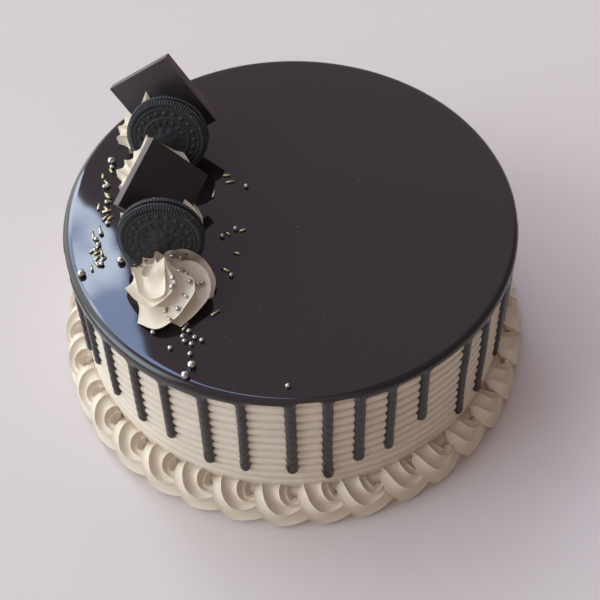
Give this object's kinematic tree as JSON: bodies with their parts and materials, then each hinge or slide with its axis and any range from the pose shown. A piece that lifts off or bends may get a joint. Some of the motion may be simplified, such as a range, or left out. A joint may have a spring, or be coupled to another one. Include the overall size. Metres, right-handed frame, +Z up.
{
  "type": "birthday cake",
  "caption": "Round mocha cake with combed cream sides, a dark mirror glaze with drips, a piped shell border and a row of rosettes, cookies and chocolate squares.",
  "frame": {"origin": "middle of the base", "axes": "+Z up, the front of the cake towards -Y"},
  "size_m": [0.2804, 0.2804, 0.1633],
  "materials": {
    "buttercream": "matt coffee buttercream, combed",
    "glaze": "near-black chocolate mirror glaze",
    "piping": "soft piped coffee cream",
    "wafer": "dry dark cocoa biscuit",
    "filling": "dark chocolate cream",
    "chocolate": "satin dark chocolate",
    "gold_sprinkle": "pale gold rods",
    "silver_pearl": "silver pearls"
  },
  "bodies": {
    "root": {"cake_body": "buttercream", "chocolate_glaze": "glaze", "piped_border": "piping", "rosette_1": "piping", "rosette_2": "piping", "rosette_3": "piping", "rosette_4": "piping", "cookie_1_front_wafer": "wafer", "cookie_1_filling": "filling", "cookie_1_back_wafer": "wafer", "cookie_2_front_wafer": "wafer", "cookie_2_filling": "filling", "cookie_2_back_wafer": "wafer", "chocolate_square_1": "chocolate", "chocolate_square_2": "chocolate"}
  },
  "joints": []
}
